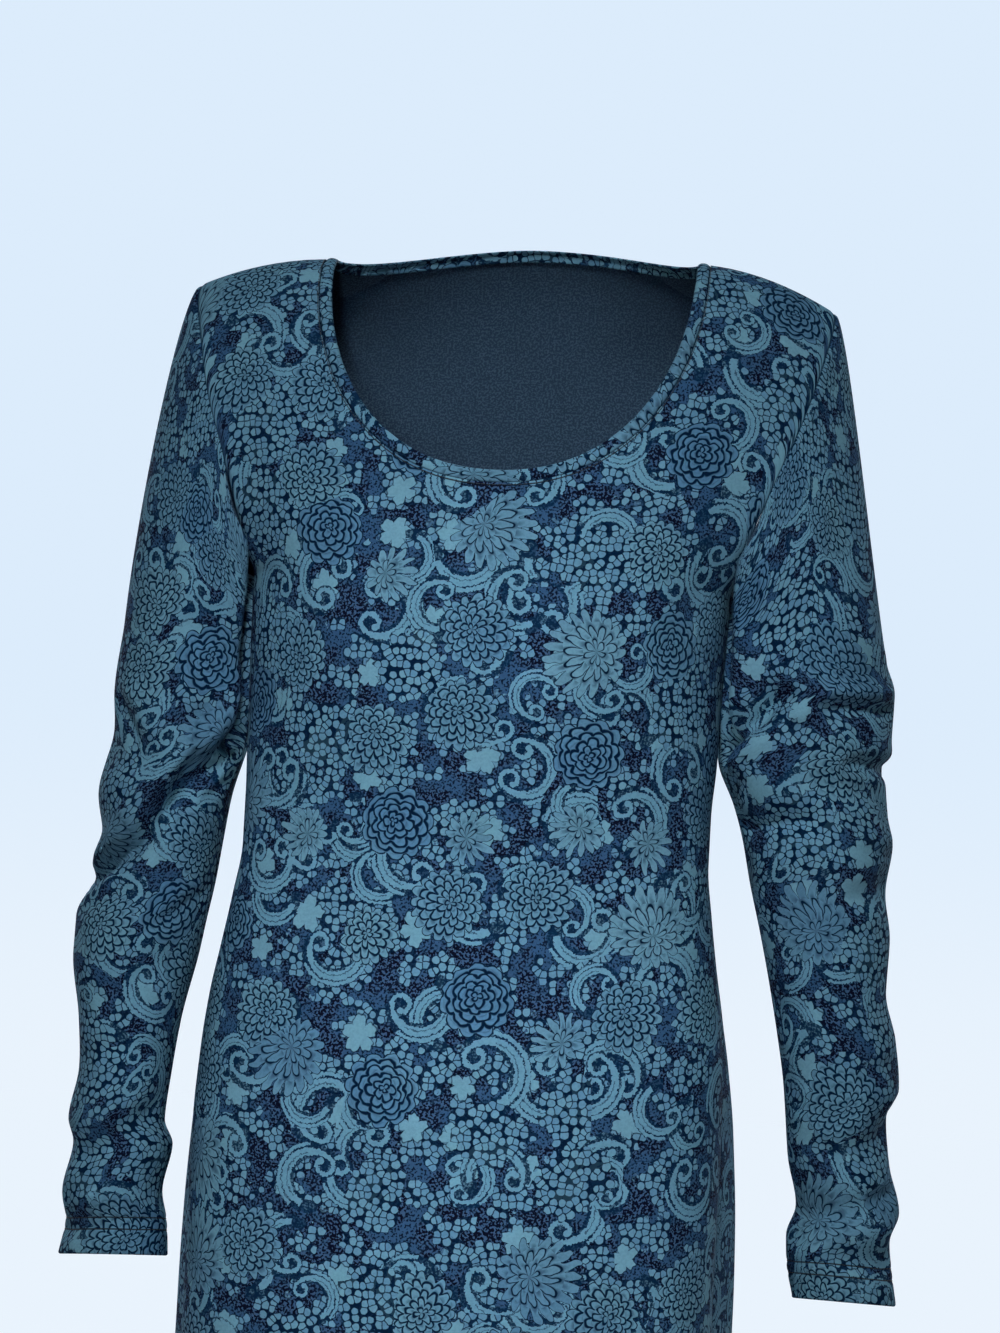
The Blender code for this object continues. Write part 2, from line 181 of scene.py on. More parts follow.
# Folds of the sleeves: height and angle at both ends, width, depth. Angles run from 0 at the outer
# side, 90 at the front, to 180 beside the body.
RIGHT_FOLDS = [
    (-405, -2, -362, 98, 6.5, 9.0),
    (-370, 82, -296, 166, 7.5, 10.0),
    (-318, 12, -326, 95, 11, 3.5),
    (-262, 150, -232, 95, 12, 3.0),
    (-470, 60, -438, 150, 12, 2.5),
    (-572, 40, -530, 165, 9, 4.0),
    (-610, 10, -602, 150, 8, 3.0),
    (-395, 255, -360, 330, 12, 5.0),
    (-545, 240, -560, 330, 10, 3.5),
    # Smaller creases between them
    (-322, 164, -160, 156, 7.5, 13.0),
    (-352, 96, -282, 158, 7, 7.0),
    (-396, 20, -372, 84, 4, 3.0),
    (-358, 100, -318, 150, 4, 3.4),
    (-282, 119, -342, 110, 5, 4.6),
    (-280, 28, -318, 68, 6, 4.2),
    (-352, 120, -330, 165, 4, 1.8),
    (-385, 60, -352, 128, 5, 1.6),
    (-420, 20, -398, 92, 5, 1.8),
    (-428, 96, -396, 168, 5, 1.8),
    (-300, 20, -290, 70, 6, 1.2),
    (-505, 30, -490, 110, 6, 1.4),
    (-548, 70, -560, 150, 5, 1.6),
    (-590, 30, -574, 100, 5, 1.6),
    (-180, 60, -236, 84, 7, 1.4),
    (-150, 120, -214, 140, 7, 1.6),
    (-372, 230, -340, 300, 6, 2.0),
    (-418, 240, -402, 320, 6, 1.8),
    (-580, 220, -592, 310, 5, 1.6),
]
LEFT_FOLDS = [
    (-268, 12, -269, 90, 5.5, 6.5),
    (-304, 166, -256, 98, 7.5, 10.0),
    (-345, 170, -334, 80, 9, 5.5),
    (-370, 10, -388, 80, 10, 3.0),
    (-455, 170, -438, 84, 12, 2.5),
    (-520, 8, -540, 118, 9, 4.5),
    (-578, 174, -560, 20, 9, 5.0),
    (-600, 20, -596, 110, 8, 3.0),
    (-350, 205, -395, 280, 12, 5.0),
    (-540, 230, -560, 320, 10, 3.5),
    # Smaller creases between them
    (-312, 164, -160, 156, 7.5, 13.0),
    (-276, 64, -284, 124, 6, 2.6),
    (-302, 160, -262, 108, 4, 3.0),
    (-344, 166, -336, 90, 4, 2.2),
    (-250, 4, -246, 60, 6, 1.4),
    (-306, -14, -300, 66, 5, 4.6),
    (-322, 20, -312, 96, 6, 1.8),
    (-356, 8, -352, 60, 5, 1.8),
    (-300, 150, -272, 116, 5, 2.2),
    (-326, 168, -300, 122, 5, 2.0),
    (-365, 170, -352, 110, 5, 1.6),
    (-400, 20, -408, 90, 6, 1.4),
    (-478, 12, -486, 80, 6, 1.6),
    (-505, 150, -516, 80, 5, 1.6),
    (-556, 10, -562, 70, 5, 2.0),
    (-590, 160, -582, 90, 5, 2.0),
    (-150, 58, -220, 80, 7, 1.4),
    (-190, 130, -232, 118, 6, 1.6),
    (-376, 220, -352, 300, 6, 2.0),
    (-420, 236, -436, 310, 6, 1.6),
    (-566, 220, -580, 310, 5, 1.6),
]

# Folds of the front and back: x and height at both ends, width, depth.
FRONT_FOLDS = [
    (22, -430, 42, -660, 24, 4.0),
    (42, -660, 58, -1160, 30, 8.0),
    (-128, -232, -150, -128, 12, 4.5),
    (122, -236, 150, -128, 12, 4.5),
    (-116, -300, -128, -400, 22, 2.5),
]
FRONT_CREASES = [
    (-140, -196, -96, -268, 9, 1.5),
    (134, -196, 92, -262, 9, 1.5),
    (-146, -180, -118, -150, 8, 1.3),
    (142, -182, 116, -150, 8, 1.3),
    (-128, -360, -70, -376, 10, 1.0),
    (120, -372, 62, -384, 10, 1.0),
    (-122, -408, -60, -398, 10, 0.9),
    (-60, -520, -72, -760, 22, 1.6),
    (104, -500, 112, -780, 18, 1.6),
    (-110, -560, -122, -900, 18, 1.8),
    (-20, -800, -26, -1140, 18, 2.0),
    (96, -860, 104, -1150, 16, 2.2),
]
BACK_FOLDS = [
    (-120, -228, -146, -126, 14, 5.0),
    (116, -228, 146, -126, 14, 5.0),
    (-110, -392, 96, -408, 14, 4.0),
    (-96, -424, 104, -436, 14, 3.0),
    (-34, -700, -40, -1160, 32, 8.0),
]
BACK_CREASES = [
    (-126, -188, -84, -262, 9, 1.8),
    (120, -190, 80, -258, 9, 1.8),
    (-90, -366, 20, -374, 8, 1.6),
    (-10, -384, 104, -380, 8, 1.6),
    (-70, -410, 60, -420, 8, 1.4),
    (-60, -446, 70, -452, 9, 1.2),
    (-100, -108, -40, -150, 12, 1.4),
    (98, -106, 44, -146, 12, 1.4),
    (70, -640, 82, -1100, 20, 2.4),
    (-104, -700, -116, -1120, 18, 2.2),
    (20, -820, 18, -1140, 16, 2.0),
]
FOLD_LIP_OFFSET = 1.9
FOLD_LIP_WIDTH = 1.25
FOLD_LIP_SHARE = 0.45

BUST_X = 78.0
BUST_HEIGHT = -252.0
BUST_RADIUS = 60.0
BUST_FULLNESS = 9.0
FLUTE_START = -600.0
FLUTES = [(5, 0.6, 6.0), (8, 2.1, 4.5), (3, 4.0, 4.0)]


def read(rows, column, height):
    """A table's column at some heights, on a smooth curve that keeps to its rows."""
    x, y = rows["height"], rows[column]
    slope = np.diff(y) / np.diff(x)
    before, after = slope[:-1], slope[1:]
    same_way = before * after > 0
    tangent = np.zeros_like(y)
    safe = np.where(same_way, before + after, 1.0)
    tangent[1:-1] = np.where(same_way, 2 * before * after / safe, 0.0)
    tangent[0], tangent[-1] = slope[0], slope[-1]
    h = np.clip(np.asarray(height, float), x[0], x[-1])
    k = np.clip(np.searchsorted(x, h) - 1, 0, len(x) - 2)
    span = x[k + 1] - x[k]
    t = (h - x[k]) / span
    return (
        (1 + 2 * t) * (1 - t) ** 2 * y[k]
        + t * (1 - t) ** 2 * span * tangent[k]
        + t**2 * (3 - 2 * t) * y[k + 1]
        + t**2 * (t - 1) * span * tangent[k + 1]
    )


def smooth(t):
    """An even rise from 0 to 1."""
    t = np.clip(t, 0, 1)
    return t * t * (3 - 2 * t)


def shoulder_line(x):
    """Height of the shoulder seam at a distance from the centre, and of the neck form inside it."""
    x = np.abs(x)
    outside = np.clip((x - NECK_HALF_WIDTH) / (SHOULDER_REACH - NECK_HALF_WIDTH), 0, None)
    inside = np.clip(1 - (x / NECK_HALF_WIDTH) ** 2, 0, 1)
    return SHOULDER_HEIGHT - SHOULDER_DROP * outside**1.9 + NECK_RISE * inside**1.2


def folds_at(u, v, folds):
    """Height of soft troughs with a low lip below them, which fade at both ends."""
    total = np.zeros(np.broadcast(u, v).shape)
    for u_a, v_a, u_b, v_b, width, depth in folds:
        length = math.hypot(u_b - u_a, v_b - v_a)
        du, dv = (u_b - u_a) / length, (v_b - v_a) / length
        along = ((u - u_a) * du + (v - v_a) * dv) / length
        across = (u - u_a) * dv - (v - v_a) * du
        fade = np.clip(along * (1 - along) * 8, 0, 1)
        trough = np.exp(-((across / width) ** 2))
        lip = np.exp(-(((across - FOLD_LIP_OFFSET * width) / (FOLD_LIP_WIDTH * width)) ** 2))
        total -= depth * fade * (trough - FOLD_LIP_SHARE * lip)
    return total


def settle(points):
    """Lets the yoke lean to one side, as the dress sits on its wearer."""
    x, height = points[..., 0], points[..., 2]
    lean = LEAN * np.sin(math.pi * np.clip(x / SHOULDER_REACH, -1, 1))
    points[..., 2] += lean * smooth((height - LEAN_START) / -LEAN_START)
    return points


def body_surface(share, height, side, creases=True):
    """Points of the front (side -1) or back (side +1) at shares of the cloth's half width."""
    centre = read(BODY, "centre", height)
    across = share * read(BODY, "half_width", height)
    turn = np.clip(np.abs(share), 0, 1)
    roundness = ROUNDNESS
    if side < 0:
        flat = smooth((FRONT_FLATTENS[0] - height) / (FRONT_FLATTENS[0] - FRONT_FLATTENS[1]))
        roundness = ROUNDNESS + (FRONT_ROUNDNESS - ROUNDNESS) * flat
    hollow = 1 - turn**roundness + read(BODY, "armhole_gap", height) * turn**ARMHOLE_SPREAD
    depth = np.clip(hollow, 0, 1) ** (1 / roundness)
    top = np.clip((shoulder_line(across) - height) / CROWN, 0, 1)
    crown = np.sqrt(1 - (1 - top) ** 2)
    reach = read(BODY, "front" if side < 0 else "back", height)
    y = reach * depth * crown
    x = across
    if side > 0:
        bulge = turn ** (ROUNDNESS / 2) * np.sqrt(1 - turn**ROUNDNESS)
        x = x + np.sign(share) * read(BODY, "side_flare", height) * 2 * bulge
    else:
        for bust in (-BUST_X, BUST_X):
            off = ((x - bust) ** 2 + (height - BUST_HEIGHT) ** 2) / BUST_RADIUS**2
            y = y + BUST_FULLNESS * np.exp(-off) * depth
    y = y + folds_at(x, height, FRONT_FOLDS if side < 0 else BACK_FOLDS) * depth
    if creases:
        y = y + folds_at(x, height, FRONT_CREASES if side < 0 else BACK_CREASES) * depth
    around = np.arctan2(side * y / reach, share)
    hang = np.clip((FLUTE_START - height) / (FLUTE_START + DRESS_LENGTH), 0, 1) ** 1.5
    wave = sum(size * np.cos(n * around + phase) for n, phase, size in FLUTES) * hang
    x = x + wave * np.cos(around)
    y = np.maximum(y + side * wave * np.sin(around), 0)
    return np.stack([centre + x, side * y, height + 0 * x], axis=-1)


def neckline(angle, side, inward):
    """Distance from the centre and height of the neckline, moved inward from its finished edge."""
    width = NECK_HALF_WIDTH - inward
    x = width * np.sin(angle) ** NECK_CURVE
    fall = np.clip(np.cos(angle), 0, 1) ** NECK_CURVE
    if side < 0:
        return x, SHOULDER_HEIGHT - (NECK_DEPTH - inward) * fall
    y = (BACK_NECK_REACH - BACK_BAND_SHARE * inward) * fall**BACK_NECK_CURVE
    room = BACK_YOKE_REACH * (1 - (x / YOKE_HALF_WIDTH) ** ROUNDNESS) ** (1 / ROUNDNESS)
    return x, shoulder_line(x) - CROWN * (1 - np.sqrt(1 - (y / room) ** 2))


def neck_angles(count):
    """Angles along half the neckline, from the centre to the shoulder, where they are closest."""
    return math.pi / 2 * (1 - (1 - np.linspace(0, 1, count)) ** 1.5)


def panel_edge(side, columns):
    """Shares and top heights of half a panel's columns, from the centre to the side."""
    neck_count = int(columns * NECK_COLUMN_SHARE)
    x, neck_top = neckline(neck_angles(neck_count + 1), side, -BAND_WIDTH)
    neck_share = x / read(BODY, "half_width", neck_top)
    neck_top[-1] = shoulder_line(x[-1])
    first = math.asin(neck_share[-1])
    turn = np.linspace(0, 1, columns - neck_count + 1)[1:]
    share = np.sin(first + (math.pi / 2 - first) * (turn + 0.5 * turn * (1 - turn)))
    side_top = shoulder_line(share * SHOULDER_REACH)
    return np.concatenate([neck_share, share]), np.concatenate([neck_top, side_top])


def yoke_steps(count):
    """Shares of the way up from the underarm to the top edge, close together at both ends."""
    return (1 - np.cos(math.pi * np.linspace(0, 1, count + 1))) / 2


def rows_down(top, lower, turn, count, step):
    """Heights from the top to a lower edge, close together where the edge is turned under."""
    coarse = np.linspace(top, lower + turn + TURN_ROOM, count)[:-1]
    return np.concatenate([coarse, np.arange(turn + TURN_ROOM, -0.1, -step) + lower])


def lengths_along(points, axis):
    """Distance travelled along one direction of a grid."""
    step = np.linalg.norm(np.diff(points, axis=axis), axis=-1)
    zero = np.zeros_like(np.take(step, [0], axis=axis))
    return np.concatenate([zero, np.cumsum(step, axis=axis)], axis=axis)


def grid_normals(points):
    """Outward unit normals of an open grid."""
    down, around = np.gradient(points, axis=0), np.gradient(points, axis=1)
    normal = np.cross(around, down)
    return normal / np.maximum(np.linalg.norm(normal, axis=2, keepdims=True), 1e-9)


def ring_normals(points):
    """Unit normals of a grid whose rows close on themselves."""
    around = np.roll(points, -1, axis=1) - np.roll(points, 1, axis=1)
    normal = np.cross(around, np.gradient(points, axis=0))
    return normal / np.maximum(np.linalg.norm(normal, axis=2, keepdims=True), 1e-9)


class Cloth:
    """A grid of points on the face of a sheet, with its place on the flat cut and its seams."""

    def __init__(self, points, u, v, normals=None):
        self.points, self.u, self.v = points, u, v
        self.normals = grid_normals(points) if normals is None else normals
        self.marks = {mark: np.full(u.shape, FAR) for mark in MARKS}

    def near(self, distance):
        """Marks a seam at a distance from each point and lets the cloth dip into it."""
        self.marks["seam"] = np.minimum(self.marks["seam"], distance)
        dip = SEAM_DIP * np.exp(-((distance / SEAM_WIDTH) ** 2))
        self.points = self.points - self.normals * dip[..., None]

    def sewn_row(self, distance, mark):
        """Sinks a row of stitching in, at a distance from the lower edge, and returns its line."""
        up = self.v - self.v[-1]
        dip = ROW_DIP * np.exp(-(((up - distance) / ROW_WIDTH) ** 2))
        self.points = self.points - self.normals * dip[..., None]
        marked = self.marks[mark]
        self.marks[mark] = np.where(np.abs(up - distance) < np.abs(marked), up - distance, marked)
        line = []
        for j in range(up.shape[1]):
            i = np.searchsorted(-up[:, j], -distance)
            t = (up[i - 1, j] - distance) / (up[i - 1, j] - up[i, j])
            place = self.points[i - 1, j] * (1 - t) + self.points[i, j] * t
            line.append(place + self.normals[i, j] * THREAD_PROUD)
        return line

    def sewn_rows(self, distances):
        """Sews both rows of a hem and returns their lines."""
        return [self.sewn_row(distance, mark) for distance, mark in zip(distances, MARKS[1:])]

    def turn_under(self, turn, radius=EDGE_RADIUS):
        """Turns the sheet's last row under, along its own inner side."""
        length = lengths_along(self.points, 0)
        left = length[-1] - length
        back_rows = [k for k in range(len(self.points) - 1, -1, -1) if left[k].mean() <= turn]
        end, way = self.points[-1], -self.normals[-1]
        ahead = self.points[-1] - self.points[-2]
        ahead /= np.linalg.norm(ahead, axis=1, keepdims=True)
        points, normals, u, v = [], [], [], []
        for a in np.linspace(0, math.pi, TURN_STEPS)[1:-1]:
            points.append(end + way * radius * (1 - math.cos(a)) + ahead * radius * math.sin(a))
            normals.append(-way * math.cos(a) + ahead * math.sin(a))
            u.append(self.u[-1])
            v.append(self.v[-1] - radius * a)
        for k in back_rows:
            points.append(self.points[k] - self.normals[k] * 2 * radius)
            normals.append(-self.normals[k])
            u.append(self.u[k])
            v.append(self.v[-1] - radius * math.pi - left[k])
        self.points = np.concatenate([self.points, np.array(points)])
        self.normals = np.concatenate([self.normals, np.array(normals)])
        self.u = np.concatenate([self.u, np.array(u)])
        self.v = np.concatenate([self.v, np.array(v)])
        for name, mark in self.marks.items():
            self.marks[name] = np.concatenate([mark, np.repeat(mark[-1:], len(points), axis=0)])


def cloth_object(name, cloth, shift, materials, closed=False):
    """A closed sheet of cloth with its print's place as a UV map and its seams as an attribute."""
    rows, columns = cloth.u.shape
    steps = columns if closed else columns - 1
    i, j = np.meshgrid(np.arange(rows - 1) * columns, np.arange(steps), indexing="ij")
    k = (j + 1) % columns
    faces = np.stack([i + j, i + k, i + columns + k, i + columns + j], axis=-1)
    mesh = bpy.data.meshes.new(name)
    mesh.from_pydata((cloth.points.reshape(-1, 3) * MM).tolist(), [], faces.reshape(-1, 4).tolist())
    place = np.stack([cloth.u + shift[0], cloth.v + shift[1]], axis=-1).reshape(-1, 2) * MM
    corners = np.empty(len(mesh.loops), np.int64)
    mesh.loops.foreach_get("vertex_index", corners)
    uv = mesh.uv_layers.new(name="cut")
    uv.data.foreach_set("uv", place[corners].astype(np.float32).ravel())
    for mark, distance in cloth.marks.items():
        stored = mesh.attributes.new(mark, "FLOAT", "POINT")
        stored.data.foreach_set("value", distance.astype(np.float32).ravel())
    mesh.shade_smooth()
    for material in materials:
        mesh.materials.append(material)
    piece = add_object(name, mesh)
    wall = piece.modifiers.new("cloth", "SOLIDIFY")
    wall.thickness = CLOTH * MM
    wall.offset = -1
    wall.use_even_offset = False
    wall.material_offset = 1
    wall.material_offset_rim = 1
    return applied(piece)


def add_object(name, data):
    """A new object of the scene."""
    made = bpy.data.objects.new(name, data)
    bpy.context.scene.collection.objects.link(made)
    return made


def applied(piece):
    """The same piece with its modifiers made real."""
    bpy.context.view_layer.update()
    graph = bpy.context.evaluated_depsgraph_get()
    mesh = bpy.data.meshes.new_from_object(piece.evaluated_get(graph), depsgraph=graph)
    mesh.name = piece.name
    piece.modifiers.clear()
    piece.data = mesh
    return piece


def flat_place(side):
    """Place on the flat cut of any share and height of a panel, from lengths on its form."""
    heights = np.concatenate([np.arange(-DRESS_LENGTH - 10, -40, 10.0), np.arange(-40, 60, 0.25)])
    steps = np.linspace(-PLACE_STEPS, PLACE_STEPS, 2 * PLACE_STEPS + 1)
    shares = np.sign(steps) * np.sin(np.abs(steps) / PLACE_STEPS * math.pi / 2) ** (2 / ROUNDNESS)
    every_height = heights[:, None] + 0 * shares[None, :]
    form = body_surface(shares[None, :], every_height, side, creases=False)
    across = lengths_along(form, 1)
    across -= across[:, [PLACE_STEPS]]
    up = lengths_along(form, 0)

    def place(share, height):
        i = np.clip(np.interp(height, heights, np.arange(len(heights))), 0, len(heights) - 1.001)
        turn = np.arcsin(np.clip(np.abs(share), 0, 1) ** (ROUNDNESS / 2)) / (math.pi / 2)
        j = np.clip((np.sign(share) * turn + 1) * PLACE_STEPS, 0, 2 * PLACE_STEPS - 0.001)
        a, b = i.astype(int), j.astype(int)
        s, t = i - a, j - b

        def pick(values):
            low = values[a, b] * (1 - t) + values[a, b + 1] * t
            high = values[a + 1, b] * (1 - t) + values[a + 1, b + 1] * t
            return low * (1 - s) + high * s

        return pick(across), pick(up)

    return place


def panel(side):
    """Cloth of the front or back, from the shoulder seams down to the turned hem."""
    share, top = panel_edge(side, HALF_COLUMNS)
    even = np.sin((1 - np.linspace(1, 0, len(share)) ** 1.2) * math.pi / 2) ** (2 / ROUNDNESS)
    share = np.concatenate([-share[:0:-1], share])
    even = np.concatenate([-even[:0:-1], even])
    top = np.concatenate([top[:0:-1], top])
    heights, shares = [], []
    for step in yoke_steps(YOKE_ROWS)[::-1]:
        heights.append(UNDERARM + (top - UNDERARM) * step)
        shares.append(even + (share - even) * step)
    lower = EDGE_RADIUS - DRESS_LENGTH
    for h in rows_down(UNDERARM, lower, HEM_TURN, SKIRT_ROWS, HEM_STEP)[1:]:
        heights.append(np.full(len(share), h))
        shares.append(even)
    heights, shares = np.array(heights), np.array(shares)
    if side < 0:
        shares = shares[:, ::-1]
    u, v = flat_place(side)(shares, heights)
    points = settle(body_surface(shares, heights, side))
    cloth = Cloth(points, u, v)
    edge = np.minimum(lengths_along(points, 1), lengths_along(points[:, ::-1], 1)[:, ::-1])
    cloth.near(edge)
    past_neck = shoulder_line(shares[:1] * SHOULDER_REACH) - heights[:1] < SHOULDER_NEAR
    below = heights[:, 0] <= UNDERARM
    for column in (0, -1):
        cloth.points[below, column, 1] = -side * SEAM_LAP
    down = lengths_along(points, 0)
    cloth.near(down + np.where(past_neck, 0.0, FAR))
    neck = np.flatnonzero(~past_neck[0])
    row = np.argmin(np.abs(down - NECK_ROW), axis=0)
    sewn = [[cloth.points[row[j], j] + cloth.normals[row[j], j] * THREAD_PROUD for j in neck]]
    cloth.marks["first_row"] = np.where(past_neck, FAR, down - NECK_ROW)
    sewn += cloth.sewn_rows(HEM_ROWS)
    cloth.turn_under(HEM_TURN)
    return cloth, sewn


def armhole(side_x):
    """The armhole's loop from the shoulder down the front to the underarm and up the back."""
    tip = shoulder_line(SHOULDER_REACH)
    heights = UNDERARM + (tip - UNDERARM) * yoke_steps(ARMHOLE_STEPS)[::-1]
    edge = np.full(len(heights), float(side_x))
    front, back = (body_surface(edge, heights, side) for side in (-1, 1))
    loop = np.concatenate([front[:-1], back[:0:-1]])
    loop[[0, ARMHOLE_STEPS], 1] = 0
    return loop


def arm_section(arm, height, angle, side_x):
    """Points of a sleeve at a height, round its angle."""
    outer, inner, front, back = (read(arm, name, height) for name in ARM_COLUMNS.split()[1:])
    x = (outer + inner) / 2 + (outer - inner) / 2 * np.cos(angle)
    y = (front + back) / 2 - (back - front) / 2 * np.sin(angle)
    return np.stack([side_x * x, y, height + 0 * x], axis=-1)


def sleeve_folds(points, angle, folds, side_x):
    """Moves sleeve points in and out by its folds."""
    height = points[..., 2]
    turned = np.degrees(angle) * np.ones(height.shape)
    lift = np.zeros(height.shape)
    for h_a, a_a, h_b, a_b, width, depth in folds:
        ends = [math.radians(a) * SLEEVE_RADIUS for a in (a_a, a_b)]
        for wrap in (0, -360):
            place = np.radians(turned + wrap) * SLEEVE_RADIUS
            lift += folds_at(height, place, [(h_a, ends[0], h_b, ends[1], width, depth)])
    lift = lift * np.clip((height - CUFF) / CUFF_FADE, 0, 1)
    moved = np.stack([side_x * lift * np.cos(angle), -lift * np.sin(angle), 0 * lift], axis=-1)
    return points + moved


def tilt_cuff(points, arm, side_x, outer_drop):
    """Raises the front of the cuff, square to the forearm, and lowers its outer side a little."""
    height = points[..., 2]
    middle_y = (read(arm, "front", height) + read(arm, "back", height)) / 2
    middle_x = (read(arm, "outer", height) + read(arm, "inner", height)) / 2
    share = smooth((CUFF_TILT_START - height) / (CUFF_TILT_START - CUFF))
    outward = side_x * points[..., 0] - middle_x
    points[..., 2] += share * (CUFF_TILT * (middle_y - points[..., 1]) - outer_drop * outward)
    return points


def sleeve(side_x, arm, folds, cap_pull, cap_slope, outer_drop):
    """Cloth of a sleeve, cut open along its underarm seam, from the armhole to the turned cuff."""
    loop = armhole(side_x)
    count = len(loop)
    angle = 2 * math.pi * np.arange(count) / count
    first = arm_section(arm, np.full(count, SLEEVE_TOP), angle, side_x)
    way = first - loop
    reach = np.linalg.norm(way, axis=1, keepdims=True)
    shoulder = np.clip(np.cos(angle), 0, 1)[:, None]
    outward = np.array([side_x * CAP_OUTWARD[0], 0, CAP_OUTWARD[1]])
    aside = np.array([side_x * CAP_ASIDE, 0, 0])
    leave = (way + aside) / reach * (1 - shoulder) + outward * shoulder
    leave /= np.linalg.norm(leave, axis=1, keepdims=True)
    leave = leave * np.minimum(cap_pull, CAP_PULL_LIMIT * reach)
    sideways = side_x * cap_slope * shoulder[:, 0]
    arrive = reach * np.stack([sideways, 0 * angle, -1 + 0 * angle], axis=1)
    rows = []
    for t in np.linspace(0, 1, CAP_ROWS + 1)[:-1] ** CAP_ROW_SPREAD:
        rows.append(
            (1 + 2 * t) * (1 - t) ** 2 * loop
            + t * (1 - t) ** 2 * leave
            + t**2 * (3 - 2 * t) * first
            + t**2 * (t - 1) * arrive
        )
    lower = CUFF + EDGE_RADIUS
    for height in rows_down(SLEEVE_TOP, lower, CUFF_TURN, SLEEVE_ROWS, CUFF_STEP):
        rows.append(arm_section(arm, np.full(count, height), angle, side_x))
    points = settle(sleeve_folds(np.array(rows), angle, folds, side_x))
    points = tilt_cuff(points, arm, side_x, outer_drop)
    half = count // 2
    order = (np.arange(count + 1) + half) % count
    points = points[:, order]
    if side_x < 0:
        points = points[:, ::-1]
    normals = ring_normals(points[:, :-1])
    normals = np.concatenate([normals, normals[:, :1]], axis=1)
    across = lengths_along(points, 1)
    middle = across[:, [half]]
    up = lengths_along(points[::-1], 0)[::-1]
    cloth = Cloth(points, across - middle, up, normals)
    cloth.near(lengths_along(points, 0))
    cloth.near(np.minimum(across, across[:, [-1]] - across))
    sewn = cloth.sewn_rows(CUFF_ROWS)
    cloth.turn_under(CUFF_TURN)
    return cloth, sewn


def neckband():
    """Cloth of the folded band, from its seam up to the neckline and down inside."""
    angle = neck_angles(BAND_COLUMNS)
    rows = []
    for inward in np.linspace(-BAND_WIDTH, 0.0, BAND_ROWS):
        halves = []
        for side in (-1, 1):
            x, height = neckline(angle, side, inward)
            height[-1] = shoulder_line(x[-1])
            share = x / read(BODY, "half_width", height)
            share = np.concatenate([-share[::-1], share[1:]])
            height = np.concatenate([height[::-1], height[1:]])
            halves.append(body_surface(share, height, side, creases=False))
        front, back = halves
        front[[0, -1], 1] = 0
        rows.append(np.concatenate([front, back[-2:0:-1]]))
    points = settle(np.array(rows))
    middle = BAND_ROWS // 2
    normals = ring_normals(points)
    if normals[middle, BAND_COLUMNS // 2, 1] > 0:
        normals = -normals
    up = lengths_along(points, 0)
    round_way = lengths_along(points, 1)[[middle]] + 0 * up
    puff = BAND_PUFF * np.sin(np.clip(up / up[-1], 0, 1) * math.pi) ** 0.5
    cloth = Cloth(points + normals * puff[..., None], round_way, up, normals)
    cloth.near(up)
    cloth.turn_under(BAND_TURN, BAND_RADIUS)
    return cloth


def stitch_tree():
    """Geometry Nodes that lay stitches along the edges of a mesh."""
    tree = bpy.data.node_groups.new("sewn_rows", "GeometryNodeTree")
    tree.interface.new_socket("Rows", in_out="INPUT", socket_type="NodeSocketGeometry")
    for name in ("Pitch", "Length", "Thickness"):
        tree.interface.new_socket(name, in_out="INPUT", socket_type="NodeSocketFloat")
    tree.interface.new_socket("Thread", in_out="INPUT", socket_type="NodeSocketMaterial")
    tree.interface.new_socket("Stitches", in_out="OUTPUT", socket_type="NodeSocketGeometry")
    given, result = tree.nodes.new("NodeGroupInput"), tree.nodes.new("NodeGroupOutput")
    asked = given.outputs

    def add(kind, settings, values):
        made = tree.nodes.new(kind)
        for name, value in settings.items():
            setattr(made, name, value)
        for name, value in values.items():
            if isinstance(value, (int, float)):
                made.inputs[name].default_value = value
            else:
                tree.links.new(value, made.inputs[name])
        return made

    path = add("GeometryNodeMeshToCurve", {}, {"Mesh": given.outputs["Rows"]})
    along = {"Curve": path.outputs[0], "Length": asked["Pitch"]}
    spots = add("GeometryNodeCurveToPoints", {"mode": "LENGTH"}, along)
    bead = add("GeometryNodeMeshUVSphere", {}, {"Segments": 6, "Rings": 4, "Radius": 0.5})
    sides = {0: asked["Thickness"], 1: asked["Thickness"], 2: asked["Length"]}
    size = add("ShaderNodeCombineXYZ", {}, sides)
    scaled = {"Geometry": bead.outputs["Mesh"], "Scale": size.outputs[0]}
    stitch = add("GeometryNodeTransform", {}, scaled)
    each = {name: spots.outputs[name] for name in ("Points", "Rotation")}
    laid = add("GeometryNodeInstanceOnPoints", {}, {**each, "Instance": stitch.outputs[0]})
    real = add("GeometryNodeRealizeInstances", {}, {"Geometry": laid.outputs[0]})
    dyed = {"Geometry": real.outputs[0], "Material": asked["Thread"]}
    threaded = add("GeometryNodeSetMaterial", {}, dyed)
    tree.links.new(threaded.outputs[0], result.inputs[0])
    return tree


def stitching(name, lines, tree, thread):
    """Rows of stitches along lines of points."""
    points, edges = [], []
    for line in lines:
        start = len(points)
        points += [tuple(p * MM) for p in line]
        edges += [(start + k, start + k + 1) for k in range(len(line) - 1)]
    mesh = bpy.data.meshes.new(name)
    mesh.from_pydata(points, edges, [])
    rows = add_object(name, mesh)
    sewing = rows.modifiers.new("sewing", "NODES")
    sewing.node_group = tree
    asked = [item for item in tree.interface.items_tree if item.in_out == "INPUT"]
    sockets = {item.name: item.identifier for item in asked}
    sewing[sockets["Pitch"]] = STITCH_PITCH * MM
    sewing[sockets["Length"]] = STITCH_LENGTH * MM
    sewing[sockets["Thickness"]] = THREAD * MM
    sewing[sockets["Thread"]] = thread
    rows = applied(rows)
    rows.data.shade_smooth()
    return rows


def sign(operation, swapped=False):
    """A sign of arithmetic that adds a Math node."""

    def run(one, other):
        pair = [other, one] if swapped else [one, other]
        return node("ShaderNodeMath", {"operation": operation}, pair)

    return run


